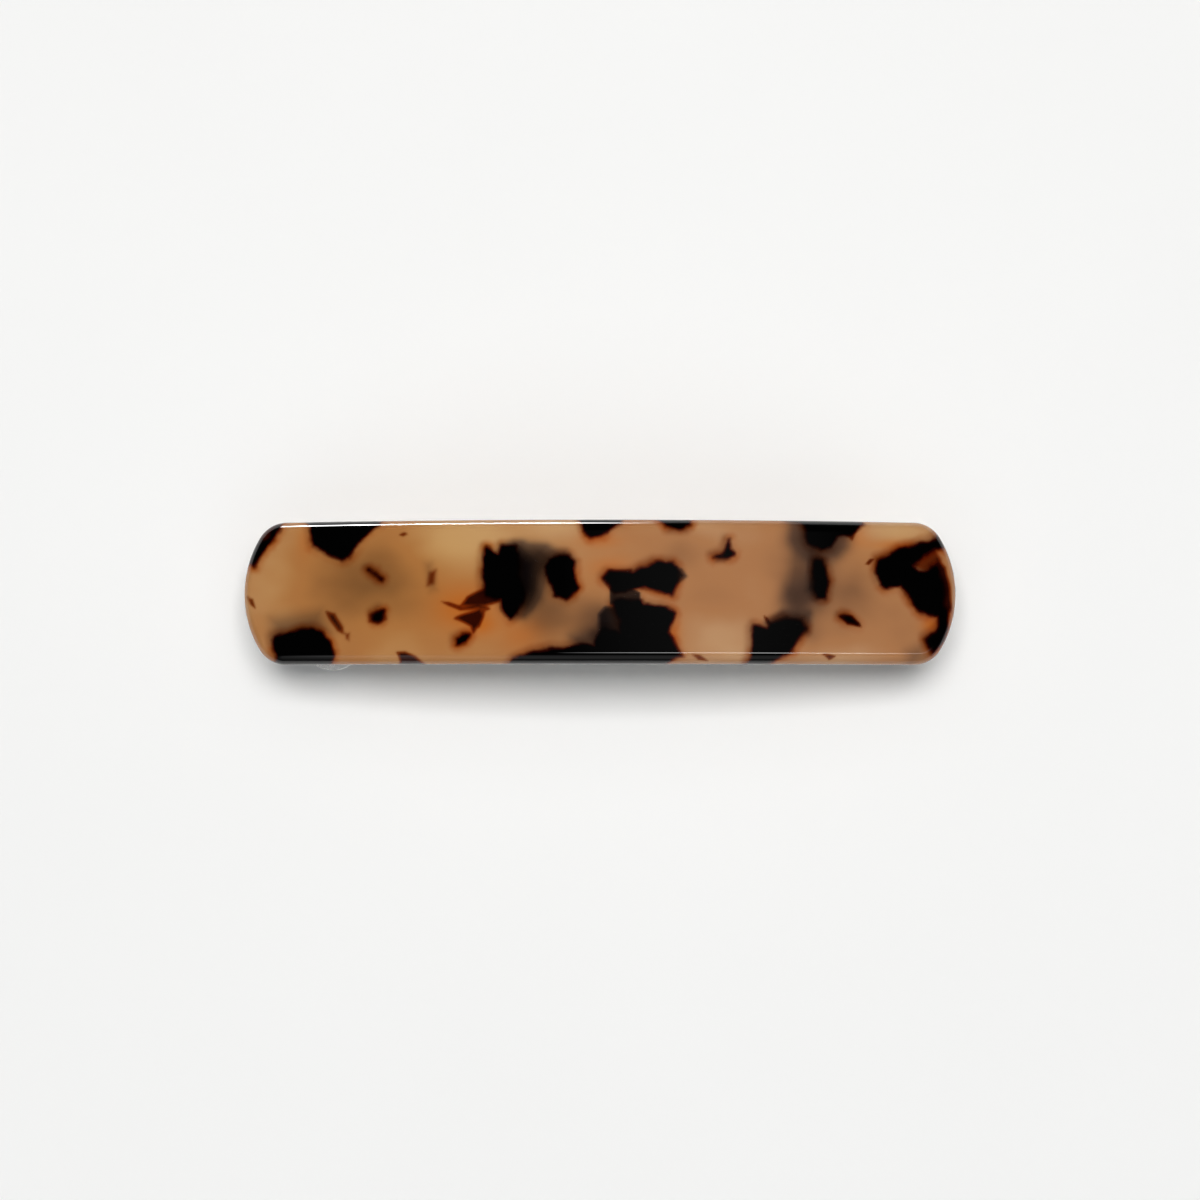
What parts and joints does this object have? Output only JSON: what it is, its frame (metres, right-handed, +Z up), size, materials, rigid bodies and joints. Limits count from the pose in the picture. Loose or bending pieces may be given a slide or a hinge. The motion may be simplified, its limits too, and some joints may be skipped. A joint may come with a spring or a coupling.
{
  "type": "barrette",
  "caption": "Arched acetate hair barrette with curved ends, on an automatic clip with a hinged arm, sprung catch and tension bar.",
  "frame": {"origin": "under the barrette's middle, on the surface it rests on with the plate uppermost and the clip closed", "axes": "+X along the plate from the catch to the hinge, +Y across it, +Z up through the plate's decorated face"},
  "size_m": [0.0802, 0.017, 0.0176],
  "materials": {
    "acetate": "polished blonde tortoiseshell, amber with near-black flecks",
    "nickel_plate": "nickel plated, satin",
    "spring_steel": "nickel plated spring steel, satin",
    "rivet_steel": "bright, slightly domed by riveting"
  },
  "bodies": {
    "plate_and_base": {"acetate_plate": "acetate", "base_bar": "nickel_plate", "fixing_pin_left": "rivet_steel", "fixing_pin_right": "rivet_steel", "hinge_pin": "rivet_steel", "catch_foot": "spring_steel", "catch_rivet_outer": "rivet_steel", "catch_rivet_inner": "rivet_steel"},
    "arm": {"clasp_arm": "nickel_plate"},
    "tension_spring": {"tension_bar": "spring_steel"},
    "wing_front": {"catch_wing_front": "spring_steel"},
    "wing_back": {"catch_wing_back": "spring_steel"}
  },
  "joints": [
    {"name": "arm_hinge", "type": "hinge", "parent": "plate_and_base", "child": "arm", "pos_m": [0.0322, 0, 0.0035], "axis": [0, -1, 0], "range_deg": [0, 95]},
    {"name": "tension_flex", "type": "slide", "parent": "plate_and_base", "child": "tension_spring", "axis": [0, 0, 1], "range_m": [0, 0.0018], "stiffness_N_per_m": 300, "deforming": ["tension_bar"]},
    {"name": "wing_front_squeeze", "type": "hinge", "parent": "plate_and_base", "child": "wing_front", "pos_m": [-0.03181, -0.0016, 0.00851], "axis": [0.9643, 0, 0.2647], "range_deg": [0, 7], "stiffness_Nm_per_rad": 0.06},
    {"name": "wing_back_squeeze", "type": "hinge", "parent": "plate_and_base", "child": "wing_back", "pos_m": [-0.03181, 0.0016, 0.00851], "axis": [-0.9643, 0, -0.2647], "range_deg": [0, 7], "stiffness_Nm_per_rad": 0.06}
  ],
  "couplings": [
    {"joint": "wing_back_squeeze", "follows": "wing_front_squeeze", "ratio": 1}
  ]
}
